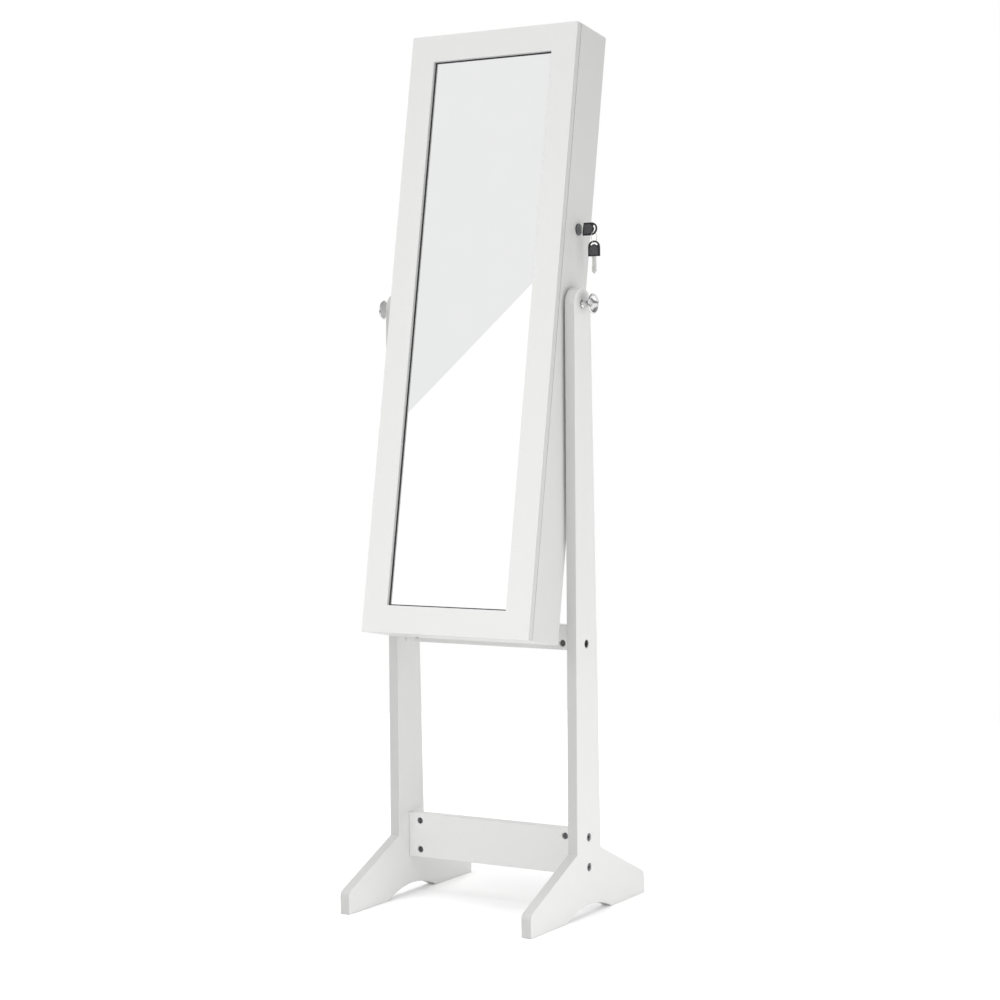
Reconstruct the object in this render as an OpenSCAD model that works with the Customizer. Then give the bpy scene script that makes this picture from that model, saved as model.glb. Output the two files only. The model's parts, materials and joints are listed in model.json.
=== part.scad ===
// Free-standing jewelry armoire: a lockable mirrored cabinet that tilts between two side frames.
// Millimetres. X is the width, the front faces -Y, Z is up. The origin is on the floor, midway
// between the feet. Cabinet pieces are drawn in the cabinet's own frame, whose origin is the
// tilt axis, and module tilted() puts them in place.

/* [Stand] */
// Width over the outer faces of the side frames
stand_w = 360; // [320:5:450]
// Length of each foot, front to back
foot_l = 370; // [300:5:460]
// Thickness of the side frame boards
board_t = 18; // [15:0.5:22]
// Height of the tilt axis above the floor
pivot_z = 979; // [800:1:1180]
// Half width of an upright at its round top
upright_top_r = 26; // [20:1:34]
// Half width of an upright where it meets the foot
upright_foot_r = 38; // [32:1:50]
// Height of the shoulder between foot and upright
shoulder_z = 103.5; // [85:0.5:130]
// Height of the foot's ends
toe_h = 36; // [28:1:50]
// Radius that eases the top corner of each toe
toe_r = 12; // [6:1:20]
// Span of the arch under each foot
arch_w = 144; // [100:2:180]
// Rise of the arch under each foot
arch_h = 17; // [8:1:24]

/* [Cross rails] */
// Thickness of both cross rails
rail_t = 18; // [16:0.5:24]
// Height of the lower rail's bottom edge above the floor
low_rail_z = 64.5; // [40:0.5:90]
// Height of the lower rail's board
low_rail_h = 74; // [60:1:100]
// Height of the upper rail's board
high_rail_h = 40.5; // [38:0.5:60]
// How far the upper rail stands above the upright cabinet's bottom edge, as its stop
stop_lap = 28; // [20:1:34]
// Distance of each barrel nut from the rail's end
nut_inset = 22; // [18:0.5:28]
// Half the distance between the lower rail's two bolts
bolt_spread = 24.2; // [18:0.1:28]
// Height of the upper rail's bolt above its bottom edge
high_bolt_up = 11; // [9:0.5:14]

/* [Cabinet] */
// Height of the cabinet
cab_h = 990; // [930:5:1190]
// Depth of the cabinet with its door
cab_d = 93; // [85:0.5:120]
// Height of the tilt axis above the cabinet's bottom edge
pivot_up = 540; // [500:1:600]
// Distance of the tilt axis in front of the cabinet's back
pivot_back = 46.5; // [40:0.5:50]
// Lean of the cabinet, top to the back, in degrees
tilt = 10.5; // [7:0.5:25]
// Gap between the cabinet and each side frame
side_gap = 4.5; // [3.5:0.1:8]
// Thickness of the side, top and bottom panels
panel_t = 12; // [11:0.5:16]
// Thickness of the back panel
back_t = 3; // [2.5:0.5:5]
// Thickness of the velvet linings
lining_t = 1; // [0.8:0.1:2]
// Radius of the hidden wooden dowels
dowel_r = 3; // [2.5:0.5:3.5]

/* [Shelves and fittings] */
// Thickness of the shelves
shelf_t = 9; // [8:0.5:12]
// Depth of the shelves
shelf_d = 54; // [40:1:60]
// Height of the clear guard along each shelf
guard_h = 32; // [20:1:40]
// Thickness of the clear guards
guard_t = 2.5; // [2:0.5:4]
// Radius of the ring cushion's rolls
roll_r = 9; // [7:0.5:11]
// Number of rolls in the ring cushion
roll_count = 7; // [4:1:8]
// Distance between necklace hooks
hook_pitch = 28; // [22:1:40]
// Radius of the hook wire
hook_r = 1.4; // [1:0.1:2]
// Radius of the bracelet bar
bar_r = 6; // [4:0.5:8]

/* [Door] */
// Thickness of the door frame
door_t = 12; // [11:0.5:16]
// Gap between the shut door and the cabinet
door_gap = 1; // [0.8:0.1:2]
// Width of the door frame's stiles
stile_w = 45.5; // [35:0.5:55]
// Width of the door frame's top and bottom
head_w = 45; // [35:0.5:55]
// Thickness of the lip in front of the glass
lip_t = 7; // [6:0.5:9]
// Width of the rebate that holds the glass
rebate_w = 7; // [5:0.5:10]
// Thickness of the door's backing board
backing_t = 3; // [2.5:0.5:5]
// Depth of the door's pocket
pocket_d = 16; // [12:1:18]
// Height of the door's pocket
pocket_h = 110; // [80:5:140]

/* [Hinges] */
// Height of a hinge
hinge_h = 50; // [40:1:70]
// Radius of the hinge knuckles
knuckle_r = 2.6; // [2.3:0.1:3]
// Radius of the hinge pins
pin_r = 1.2; // [1:0.1:1.4]
// Thickness of the hinge leaves
leaf_t = 1.2; // [1:0.1:1.4]

/* [Lock and keys] */
// Height of the lock above the tilt axis
lock_w = 122.5; // [110:0.5:140]
// Distance of the lock behind the tilt axis
lock_v = 6; // [4:0.5:8]
// Radius of the lock's plug
plug_r = 5.5; // [5.2:0.1:6]
// Width of a key's head
key_head_w = 21; // [18:0.5:24]
// Length of a key's head
key_head_l = 25; // [22:0.5:28]
// Length of a key's blade outside its head
key_blade_l = 28; // [24:0.5:30]
// Radius of the key ring, to the middle of its wire
ring_r = 9; // [8:0.5:12]

/* [Tilt knobs] */
// Radius of the knob's rim
knob_r = 16; // [13:0.5:20]
// How far the knob stands out from the side frame
knob_l = 21; // [18:0.5:26]
// Radius of the knob's stud
stud_r = 4; // [3:0.5:5]

/* [Hidden] */
$fn = 48;

// Clearances
cut = 1;             // how far a cutter runs past a face
run = 0.1;           // radial clearance of a turning fit
thread_gap = 0.05;   // radial clearance drawn in a thread
fit = 0.3;           // clearance between a seated piece and its neighbour

// Stand
frame_x = stand_w / 2 - board_t;            // inner face of a side frame
high_rail_z = pivot_z - pivot_up + stop_lap - high_rail_h;
arch_r = (pow(arch_w / 2, 2) + pow(arch_h, 2)) / (2 * arch_h);
bolt_r = 3;
bolt_head_r = 5.8;
bolt_head_t = 3.2;
bolt_sink = 4.5;                            // depth of the counterbore
bolt_sink_r = 6.5;
bolt_past_nut = 9;                          // how far a bolt runs past its barrel nut
socket_r = 2.3;
socket_depth = 2.2;
nut_r = 5;
nut_l = 13;
nut_hole_r = 5.4;
nut_slot = 1.2;
low_bolt_zs = [for (s = [-1, 1]) low_rail_z + low_rail_h / 2 + s * bolt_spread];
high_bolt_z = high_rail_z + high_bolt_up;
bolt_zs = concat(low_bolt_zs, [high_bolt_z]);
rail_dowel_z = high_rail_z + high_rail_h - high_bolt_up;
rail_dowel_r = 4;
rail_dowel_in_frame = 11;
rail_dowel_l = 32;
rail_dowel_x = frame_x + rail_dowel_in_frame - rail_dowel_l;
bush_r = 6.5;

// Cabinet outline, in the cabinet's frame
cab_x = frame_x - side_gap;                 // outer face of a side panel
top_w = cab_h - pivot_up;
bottom_w = -pivot_up;
back_v = pivot_back;
door_front_v = back_v - cab_d;
door_back_v = door_front_v + door_t;
body_front_v = door_back_v + door_gap;
in_x = cab_x - panel_t;
in_top_w = top_w - panel_t;
in_bottom_w = bottom_w + panel_t;
back_rebate = 6;                            // how far the back panel laps each panel
back_panel_v = back_v - back_t;
in_back_v = back_panel_v - lining_t;
lined_x = in_x - lining_t;
lined_top_w = in_top_w - lining_t;
lined_bottom_w = in_bottom_w + lining_t;
lining_front_v = body_front_v + 2;
panel_dowel_l = 20;
panel_dowel_in_side = 8;
panel_dowel_vs = [body_front_v + 20, back_panel_v - 18];
back_screw_r = 1.5;
back_screw_head_r = 3;
back_screw_pitch = 150;

// Fittings
shelf_front_v = in_back_v - shelf_d;
shelf_pitch = 90;
shelf_ws = concat([top_w - 160],            // undersides of the shelves
    [for (i = [3, 2, 1]) bottom_w + 10 + shelf_pitch * i]);
shelf_x = lined_x - fit / 2;
shelf_dowel_l = 16;
shelf_dowel_in_side = 6;
roll_gap = 0.4;
roll_pitch = 2 * roll_r + roll_gap;
cushion_bottom_w = shelf_ws[0] + shelf_t + 2;
cushion_x = lined_x - 4;
cushion_back = 5;                           // thickness of the cushion's backing
roll_v = in_back_v - roll_r - 1;
panel_front_v = in_back_v - 22;             // front face of the earring panel
earring_t = 3;
earring_w = [top_w - 322, top_w - 172];     // bottom and top of the earring panel
cleat_x = 12;
slot_pitch = 12;
slot_size = [1.6, 16];
slot_rows = [20, 60, 100];
rail_w = 18;                                // height of a hook rail
cab_rail_w = top_w - 358;
cab_rail_d = 12;
hook_reach = 16;
hook_rise = 9;
bar_v = 8;
bar_w = bottom_w + 365;
socket_bar_r = bar_r + 5;
socket_bar_l = 9;

// Door
opening_x = cab_x - stile_w;
opening_top_w = top_w - head_w;
opening_bottom_w = bottom_w + head_w;
glass_play = 0.5;
glass_front_v = door_front_v + lip_t;
backing_x = in_x - 3;
backing_top_w = in_top_w - 3;
backing_bottom_w = in_bottom_w + 3;
backing_back_v = door_back_v + backing_t;
door_lining_v = backing_back_v + lining_t;  // inner face of the door's lining
door_rail_w = top_w - 78;
door_rail_d = 10;
door_rail_x = backing_x - 16.5;
pocket_x = backing_x - 24.5;
pocket_top_w = bottom_w + 465;
pocket_t = 1.6;
backing_screw_r = 1.4;
backing_screw_head_r = 2.8;
backing_screw_pitch = 180;
backing_screw_inset = 8;

// Hinges
hinge_ws = [top_w - 85, (top_w + bottom_w) / 2, bottom_w + 85];
hinge_v = (door_back_v + body_front_v) / 2;
hinge_x = -(cab_x + knuckle_r + 0.2);
leaf_clear = 0.1;                           // half the gap between the shut leaves
leaf_in_x = -(cab_x - 10.5);
knuckle_n = 5;
knuckle_gap = 0.3;
small_screw_r = 1.2;
small_screw_head_r = 2.2;
small_screw_l = 9;

// Lock, in the cabinet's frame
flange_r = 9.5;
flange_t = 2.5;
housing_r = 8;
housing_l = key_blade_l + 1;                // length of the housing behind the flange
plug_back_x = cab_x - housing_l - 0.5;
plug_front_x = cab_x + flange_t - 0.5;
lock_nut_t = 4;
lock_nut_r = 12.4;
post_w = 6;
post_l = 3;
cam_t = 2.5;
cam_x = plug_back_x - 0.2 - cam_t;
strike_pin_v = door_lining_v + 10.5;        // the strike's pin, which the cam hooks over
cam_pin_reach = lock_v - strike_pin_v;
strike_pin_r = 2.5;
cam_hub_r = 8;
cam_arm_w = 5.8;
cam_above_pin = strike_pin_r + 0.7;
cam_claw_in = cam_pin_reach + strike_pin_r + 1.3;
cam_claw_t = 3.2;
cam_claw_drop = 3;
cam_screw_r = 1.8;
cam_screw_l = 6;
cam_screw_head_r = 5.2;
cam_screw_head_t = 2;
strike_plate_t = 1.5;
strike_ear_x = cam_x - 6;
strike_pin_out_x = cam_x + cam_t + 2.2;
strike_w = 24;

// Keys
key_gap = 7;                                // between the lock's face and the key's head
key_head_t = 3;
key_blade_t = 2;
key_blade_w = 8;
key_blade_in_head = 8;
keyway_play = 0.15;
key_root_x = cab_x + flange_t + key_gap;
key_tip_x = key_root_x - key_blade_l;
key_eye_in_r = 4.8;
key_eye_out_r = 8;
key_eye_angle = 62;
ring_wire_r = 0.75;
ring_angle = -40;                           // where the ring rests in the eye of the key
ring_play = 0.45;
ring_reach = key_eye_out_r - ring_wire_r - ring_play;
key_eye_x = key_root_x + key_head_l - key_head_w / 2;
ring_x = key_eye_x + ring_reach * cos(ring_angle);
ring_top = tilted_point([ring_x, lock_v, lock_w + ring_reach * sin(ring_angle)]);
ring_middle = ring_top - [0, 0, ring_r];
spare_eye = ring_top - [0, 0, 2 * ring_r + ring_reach];

// Knobs
knob_seat = fit;                            // gap between knob and side frame
knob_base_r = 6.8;
knob_neck_r = 5;
knob_rim_t = 1.4;
knob_dish = 6.4;                            // depth of the dish in the knob's face
stud_tip_x = cab_x - panel_t + 2;
washer_r = 14;
insert_r = 6;
stud_in_knob = 10;

// Turns a point of the cabinet's frame into the stand's frame.
function tilted_point(p) = [
    p[0],
    p[1] * cos(tilt) + p[2] * sin(tilt),
    -p[1] * sin(tilt) + p[2] * cos(tilt) + pivot_z
];

// Points spaced evenly from a to b, with an even pitch no wider than the one given.
function spaced(a, b, pitch) = let (n = max(1, ceil((b - a) / pitch)))
    [for (i = [0 : n]) a + (b - a) * i / n];

// --- Shared shapes ---

module tilted() {
    translate([0, 0, pivot_z]) rotate([-tilt, 0, 0]) children();
}

module both_sides() {
    children();
    mirror([1, 0, 0]) children();
}

// A box from its lowest corner to its highest.
module slab(low, high) {
    translate(low) cube(high - low);
}

// A rod along +X from x0 to x1.
module x_rod(x0, x1, r, y = 0, z = 0) {
    translate([x0, y, z]) rotate([0, 90, 0]) cylinder(h = x1 - x0, r = r);
}

// A rod along +Y from y0 to y1.
module y_rod(y0, y1, r, x = 0, z = 0) {
    translate([x, y0, z]) rotate([-90, 0, 0]) cylinder(h = y1 - y0, r = r);
}

// Stands an outline drawn in (Y, Z) up as a board from x0 to x1.
module x_board(x0, x1) {
    translate([x0, 0, 0]) rotate([90, 0, 90]) linear_extrude(x1 - x0) children();
}

// A pan-head screw pointing along dir (+1 or -1) in Y, its head's seat at y = 0.
module y_screw(shank_r, shank_l, head_r, head_t, dir) {
    y_rod(min(0, dir * shank_l), max(0, dir * shank_l), shank_r);
    y_rod(min(0, -dir * head_t), max(0, -dir * head_t), head_r);
}

// --- Stand ---

// Rounds the corner at p between directions a and b: [centre, tangent to a, tangent to b].
function eased(p, a, b, r) = let (
    half = acos(a * b) / 2,
    mid = (a + b) / norm(a + b)
) [p + mid * r / sin(half), p + a * r / tan(half), p + b * r / tan(half)];

module side_outline() {
    toe = [foot_l / 2, toe_h];
    shoulder = [upright_foot_r, shoulder_z];
    up = (shoulder - toe) / norm(shoulder - toe);
    ease = eased(toe, [0, -1], up, toe_r);
    difference() {
        union() {
            for (s = [-1, 1]) scale([s, 1]) {
                polygon([[0, 0], [toe[0], 0], ease[1], ease[2], shoulder,
                    [upright_top_r, pivot_z], [0, pivot_z]]);
                translate(ease[0]) circle(r = toe_r);
            }
            translate([0, pivot_z]) circle(r = upright_top_r);
        }
        translate([0, arch_h - arch_r]) circle(r = arch_r, $fn = 96);
    }
}

module right_frame_board() {
    difference() {
        x_board(frame_x, stand_w / 2) side_outline();
        x_rod(frame_x - cut, stand_w / 2 + cut, bush_r, z = pivot_z);
        for (z = bolt_zs) {
            x_rod(frame_x - cut, stand_w / 2, bolt_r + fit, z = z);
            x_rod(stand_w / 2 - bolt_sink, stand_w / 2 + cut, bolt_sink_r, z = z);
        }
        x_rod(frame_x - cut, frame_x + rail_dowel_in_frame, rail_dowel_r, z = rail_dowel_z);
    }
}

module right_side_frame() {
    color("white") right_frame_board();
}

module left_side_frame() {
    color("white") mirror([1, 0, 0]) right_frame_board();
}

// A cross rail with its bolt bores, its barrel nut holes and its dowel holes.
module cross_rail(z0, h, bolts, dowels) {
    bore_l = nut_inset + bolt_past_nut + 2;
    difference() {
        slab([-frame_x, -rail_t / 2, z0], [frame_x, rail_t / 2, z0 + h]);
        both_sides() {
            for (z = bolts) {
                x_rod(frame_x - bore_l, frame_x + cut, bolt_r + fit, z = z);
                y_rod(-rail_t / 2 - cut, nut_l / 2 + fit, nut_hole_r, frame_x - nut_inset, z);
            }
            for (z = dowels)
                x_rod(rail_dowel_x, frame_x + cut, rail_dowel_r, z = z);
        }
    }
}

module lower_rail() {
    color("white") cross_rail(low_rail_z, low_rail_h, low_bolt_zs, []);
}

module upper_rail() {
    color("white") cross_rail(high_rail_z, high_rail_h, [high_bolt_z], [rail_dowel_z]);
}

module frame_bolts() {
    seat = stand_w / 2 - bolt_sink;
    tip = frame_x - nut_inset - bolt_past_nut;
    for (z = bolt_zs) difference() {
        union() {
            x_rod(tip, seat, bolt_r, z = z);
            x_rod(seat, seat + bolt_head_t, bolt_head_r, z = z);
        }
        translate([0, 0, z]) rotate([0, 90, 0]) translate([0, 0, seat + bolt_head_t - socket_depth])
            cylinder(h = socket_depth + cut, r = socket_r, $fn = 6);
    }
}

module right_frame_bolts() {
    color("silver") frame_bolts();
}

module left_frame_bolts() {
    color("silver") mirror([1, 0, 0]) frame_bolts();
}

module barrel_nuts() {
    x = frame_x - nut_inset;
    color("dimgray") both_sides() for (z = bolt_zs) difference() {
        y_rod(-nut_l / 2, nut_l / 2, nut_r, x = x, z = z);
        x_rod(x - nut_r - cut, x + nut_r + cut, bolt_r + thread_gap, z = z);
        translate([x, -nut_l / 2, z]) cube([nut_slot, nut_slot * 2, 3 * nut_r], center = true);
    }
}

module rail_dowels() {
    color("burlywood") both_sides()
        x_rod(rail_dowel_x, rail_dowel_x + rail_dowel_l, rail_dowel_r, z = rail_dowel_z);
}

module pivot_bushes() {
    color("silver") both_sides() difference() {
        x_rod(frame_x, stand_w / 2, bush_r, z = pivot_z);
        x_rod(frame_x - cut, stand_w / 2 + cut, stud_r + run, z = pivot_z);
    }
}

// --- Cabinet ---

// Dowels that hold the top and bottom panels between the sides, and the shelves.
module dowel_set() {
    x1 = in_x + panel_dowel_in_side;
    for (w = [top_w - panel_t / 2, bottom_w + panel_t / 2]) for (v = panel_dowel_vs)
        x_rod(x1 - panel_dowel_l, x1, dowel_r, y = v, z = w);
    for (w = shelf_ws) for (v = [shelf_front_v + 12, in_back_v - 12])
        x_rod(in_x + shelf_dowel_in_side - shelf_dowel_l, in_x + shelf_dowel_in_side, dowel_r,
            y = v, z = w + shelf_t / 2);
}

module cabinet_dowels() {
    color("burlywood") tilted() both_sides() dowel_set();
}

// The rebate that the back panel drops into.
module back_rebate_cut() {
    slab([-in_x - back_rebate, back_panel_v, in_bottom_w - back_rebate],
        [in_x + back_rebate, back_v + cut, in_top_w + back_rebate]);
}

// Places one child at each screw of the back panel.
module back_screw_places() {
    x = in_x + back_rebate / 2;
    for (s = [-1, 1]) for (w = spaced(bottom_w + 30, top_w - 30, back_screw_pitch))
        translate([s * x, back_v, w]) children();
    for (w = [in_bottom_w - back_rebate / 2, in_top_w + back_rebate / 2])
        for (x = [-x / 3, x / 3]) translate([x, back_v, w]) children();
}

module back_screw_set(head_t = 1.2) {
    back_screw_places() y_screw(back_screw_r, 10, back_screw_head_r, head_t, -1);
}

module side_panel() {
    difference() {
        slab([in_x, body_front_v, bottom_w], [cab_x, back_v, top_w]);
        back_rebate_cut();
        dowel_set();
        back_screw_set();
        x_rod(in_x - cut, cab_x + cut, insert_r, 0, 0);
    }
}

module right_panel() {
    color("white") tilted() difference() {
        side_panel();
        x_rod(in_x - cut, cab_x + cut, housing_r + fit / 2, lock_v, lock_w);
    }
}

module left_panel() {
    color("white") tilted() difference() {
        mirror([1, 0, 0]) side_panel();
        hinge_mortises(body_front_v - cut, leaf_clear + leaf_t);
        hinge_screw_set(1);
    }
}

module end_panel(w0) {
    difference() {
        slab([-in_x, body_front_v, w0], [in_x, back_v, w0 + panel_t]);
        back_rebate_cut();
        both_sides() dowel_set();
        back_screw_set();
    }
}

module top_panel() {
    color("white") tilted() end_panel(in_top_w);
}

module bottom_panel() {
    color("white") tilted() end_panel(bottom_w);
}

module back_panel() {
    x = in_x + back_rebate - fit / 2;
    color("gainsboro") tilted() difference() {
        slab([-x, back_panel_v, in_bottom_w - back_rebate + fit / 2],
            [x, back_v, in_top_w + back_rebate - fit / 2]);
        back_screw_set();
    }
}

module back_screws() {
    color("silver") tilted() back_screw_set();
}

module back_lining() {
    color("#1b1b1e") tilted() slab([-in_x, in_back_v, in_bottom_w], [in_x, back_panel_v, in_top_w]);
}

module wall_linings() {
    color("#1b1b1e") tilted() {
        difference() {
            both_sides() slab([lined_x, lining_front_v, in_bottom_w], [in_x, in_back_v, in_top_w]);
            both_sides() dowel_set();
            both_sides() x_rod(lined_x - cut, in_x + cut, insert_r + 1, 0, 0);
            x_rod(lined_x - cut, in_x + cut, lock_nut_r + 1, lock_v, lock_w);
        }
        for (w = [[in_bottom_w, lined_bottom_w], [lined_top_w, in_top_w]])
            slab([-lined_x, lining_front_v, w[0]], [lined_x, in_back_v, w[1]]);
    }
}

module shelf(i) {
    color("#232326") tilted() difference() {
        slab([-shelf_x, shelf_front_v, shelf_ws[i]], [shelf_x, in_back_v, shelf_ws[i] + shelf_t]);
        both_sides() dowel_set();
    }
}

module shelf_1() { shelf(0); }
module shelf_2() { shelf(1); }
module shelf_3() { shelf(2); }
module shelf_4() { shelf(3); }

module shelf_guards() {
    color("#dfe9ee") tilted() for (w = shelf_ws)
        slab([-shelf_x, shelf_front_v - guard_t, w], [shelf_x, shelf_front_v, w + guard_h]);
}

module ring_cushion() {
    color("#1b1b1e") tilted() union() {
        slab([-cushion_x, in_back_v - cushion_back, cushion_bottom_w],
            [cushion_x, in_back_v, cushion_bottom_w + roll_pitch * roll_count]);
        for (i = [0 : roll_count - 1])
            x_rod(-cushion_x, cushion_x, roll_r, roll_v, cushion_bottom_w + roll_pitch * (i + 0.5));
    }
}

module earring_panel() {
    color("#1b1b1e") tilted() difference() {
        slab([-shelf_x, panel_front_v, earring_w[0]],
            [shelf_x, panel_front_v + earring_t, earring_w[1]]);
        for (x = spaced(-shelf_x + 20, shelf_x - 20, slot_pitch)) for (w = slot_rows)
            translate([x - slot_size[0] / 2, panel_front_v - cut, earring_w[0] + w])
                cube([slot_size[0], earring_t + 2 * cut, slot_size[1]]);
    }
}

module earring_cleats() {
    color("#1b1b1e") tilted() both_sides()
        slab([shelf_x - cleat_x, panel_front_v + earring_t, earring_w[0]],
            [shelf_x, in_back_v, earring_w[1]]);
}

// A bent wire hook screwed into a rail. It reaches along dir in Y from y0 and turns up.
module wire_hook(x, y0, w, dir) {
    root = y0 - dir * 7;
    tip = y0 + dir * hook_reach;
    y_rod(min(root, tip), max(root, tip), hook_r, x = x, z = w);
    translate([x, tip, w]) sphere(r = hook_r * 1.15, $fn = 24);
    translate([x, tip, w]) cylinder(h = hook_rise, r = hook_r * 0.9);
    translate([x, tip, w + hook_rise]) sphere(r = hook_r * 1.5, $fn = 24);
}

module cabinet_hook_set() {
    end_x = lined_x - 18;
    for (x = spaced(-end_x, end_x, hook_pitch))
        wire_hook(x, in_back_v - cab_rail_d, cab_rail_w + rail_w / 2, -1);
}

module door_hook_set() {
    end_x = door_rail_x - 12;
    for (x = spaced(-end_x, end_x, hook_pitch))
        wire_hook(x, door_lining_v + door_rail_d, door_rail_w + rail_w / 2, 1);
}

module necklace_rail() {
    color("#232326") tilted() difference() {
        slab([-shelf_x, in_back_v - cab_rail_d, cab_rail_w],
            [shelf_x, in_back_v, cab_rail_w + rail_w]);
        cabinet_hook_set();
    }
}

module necklace_hooks() {
    color("silver") tilted() cabinet_hook_set();
}

module bracelet_bar() {
    x = lined_x - fit;
    color("silver") tilted() x_rod(-x, x, bar_r, bar_v, bar_w);
}

module bracelet_sockets() {
    color("silver") tilted() both_sides() difference() {
        x_rod(lined_x - socket_bar_l, lined_x, socket_bar_r, bar_v, bar_w);
        x_rod(lined_x - socket_bar_l - cut, lined_x + cut, bar_r + thread_gap, bar_v, bar_w);
    }
}

// --- Tilt pivot ---

module pivot_inserts() {
    color("goldenrod") tilted() both_sides() difference() {
        x_rod(in_x, cab_x, insert_r, 0, 0);
        x_rod(in_x - cut, cab_x + cut, stud_r + thread_gap, 0, 0);
    }
}

module pivot_washers() {
    color("#e8e8e8") tilted() both_sides() difference() {
        x_rod(cab_x, frame_x - fit, washer_r, 0, 0);
        x_rod(cab_x - cut, frame_x, stud_r + run, 0, 0);
    }
}

// --- Hinges ---

// The recess of each hinge leaf, from v_open to where the leaf lies, on the side of the
// hinge line that reach has.
module hinge_mortises(v_open, reach) {
    for (w = hinge_ws)
        slab([-cab_x - cut, min(v_open, hinge_v + reach), w - hinge_h / 2 - leaf_clear],
            [leaf_in_x + leaf_clear, max(v_open, hinge_v + reach), w + hinge_h / 2 + leaf_clear]);
}

// Screws of the leaves on one side of the hinge line: side is +1 for the cabinet.
module hinge_screw_set(side) {
    x = -(cab_x - 5.5);
    for (w = hinge_ws) for (s = [-1, 1])
        translate([x, hinge_v + side * (leaf_clear + 0.6), w + s * hinge_h / 3])
            y_screw(small_screw_r, small_screw_l, small_screw_head_r, 0.6, side);
}

// One knuckle segment of a hinge at height w, k counted from the bottom.
module knuckle(w, k, r, grow = 0) {
    seg = hinge_h / knuckle_n;
    translate([hinge_x, hinge_v, w - hinge_h / 2 + k * seg + knuckle_gap / 2 - grow])
        cylinder(h = seg - knuckle_gap + 2 * grow, r = r);
}

// The leaves on one side. own holds the knuckles of this side, other those of the mate.
module leaf_set(side, own, other, bore_r) {
    near = hinge_v + side * leaf_clear;
    far = near + side * leaf_t;
    difference() {
        for (w = hinge_ws) union() {
            difference() {
                slab([hinge_x, min(near, far), w - hinge_h / 2],
                    [leaf_in_x, max(near, far), w + hinge_h / 2]);
                for (k = other) knuckle(w, k, knuckle_r + fit, knuckle_gap);
            }
            for (k = own) knuckle(w, k, knuckle_r);
        }
        for (w = hinge_ws)
            translate([hinge_x, hinge_v, w - hinge_h]) cylinder(h = 2 * hinge_h, r = bore_r);
        hinge_screw_set(side);
    }
}

module hinge_cabinet_leaves() {
    color("silver") tilted() leaf_set(1, [0, 2, 4], [1, 3], pin_r);
}

module hinge_door_leaves() {
    color("silver") tilted() leaf_set(-1, [1, 3], [0, 2, 4], pin_r + run);
}

module hinge_pins() {
    color("silver") tilted() for (w = hinge_ws)
        translate([hinge_x, hinge_v, w - hinge_h / 2]) cylinder(h = hinge_h, r = pin_r);
}

module hinge_cabinet_screws() {
    color("silver") tilted() hinge_screw_set(1);
}

// --- Lock ---

module lock_housing() {
    color("silver") tilted() difference() {
        union() {
            x_rod(cab_x - housing_l, cab_x + cut / 2, housing_r, lock_v, lock_w);
            x_rod(cab_x, cab_x + flange_t, flange_r, lock_v, lock_w);
        }
        x_rod(cab_x - housing_l - cut, cab_x + flange_t + cut, plug_r + run, lock_v, lock_w);
    }
}

module lock_nut() {
    color("silver") tilted() difference() {
        translate([in_x - lock_nut_t, lock_v, lock_w]) rotate([0, 90, 0])
            cylinder(h = lock_nut_t, r = lock_nut_r, $fn = 6);
        x_rod(in_x - lock_nut_t - cut, in_x + cut, housing_r + thread_gap, lock_v, lock_w);
    }
}

module cam_screw_body() {
    x = plug_back_x - post_l;
    x_rod(x - cam_screw_head_t, x, cam_screw_head_r, lock_v, lock_w);
    x_rod(x - cut, x + cam_screw_l, cam_screw_r, lock_v, lock_w);
}

module cam_screw() {
    color("silver") tilted() cam_screw_body();
}

// The plug, with the keyway in its face and a square post behind that carries the cam.
module lock_plug() {
    play = keyway_play;
    color("silver") tilted() difference() {
        union() {
            x_rod(plug_back_x, plug_front_x, plug_r, lock_v, lock_w);
            translate([plug_back_x - post_l, lock_v - post_w / 2, lock_w - post_w / 2])
                cube([post_l + cut, post_w, post_w]);
        }
        slab([key_tip_x - cut, lock_v - key_blade_t / 2 - play, lock_w - key_blade_w / 2 - play],
            [plug_front_x + cut, lock_v + key_blade_t / 2 + play, lock_w + key_blade_w / 2 + play]);
        cam_screw_body();
    }
}

// The cam as it lies when locked, pointing to the front, in (distance forward, height).
module cam_outline() {
    claw_out = cam_claw_in + cam_claw_t;
    top = cam_above_pin + cam_arm_w;
    difference() {
        union() {
            circle(r = cam_hub_r);
            translate([0, cam_above_pin]) square([claw_out, cam_arm_w]);
            translate([cam_claw_in, -cam_claw_drop]) square([cam_claw_t, top + cam_claw_drop]);
        }
        square(post_w + run, center = true);
    }
}

// The cam is drawn unlocked, pointing up; a quarter turn about +X hooks it over the strike's pin.
module lock_cam() {
    color("silver") tilted() translate([cam_x, lock_v, lock_w])
        multmatrix([[0, 0, 1, 0], [0, 1, 0, 0], [1, 0, 0, 0], [0, 0, 0, 1]])
            linear_extrude(cam_t) cam_outline();
}

module lock_strike() {
    ear_v = strike_pin_v + strike_pin_r + 1;
    color("silver") tilted() difference() {
        union() {
            slab([strike_ear_x, door_lining_v, lock_w - strike_w / 2],
                [strike_pin_out_x, door_lining_v + strike_plate_t, lock_w + strike_w / 2]);
            slab([strike_ear_x, door_lining_v, lock_w - strike_w / 4],
                [strike_ear_x + strike_plate_t, ear_v, lock_w + strike_w / 4]);
            x_rod(strike_ear_x, strike_pin_out_x, strike_pin_r, strike_pin_v, lock_w);
        }
        strike_screw_set();
    }
}

module strike_screw_set() {
    x = (strike_ear_x + strike_pin_out_x) / 2 + 1;
    for (s = [-1, 1])
        translate([x, door_lining_v + strike_plate_t, lock_w + s * (strike_w / 2 - 4)])
            y_screw(small_screw_r, small_screw_l, small_screw_head_r, 1, -1);
}

module door_screws() {
    color("silver") tilted() {
        strike_screw_set();
        hinge_screw_set(-1);
    }
}

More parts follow.
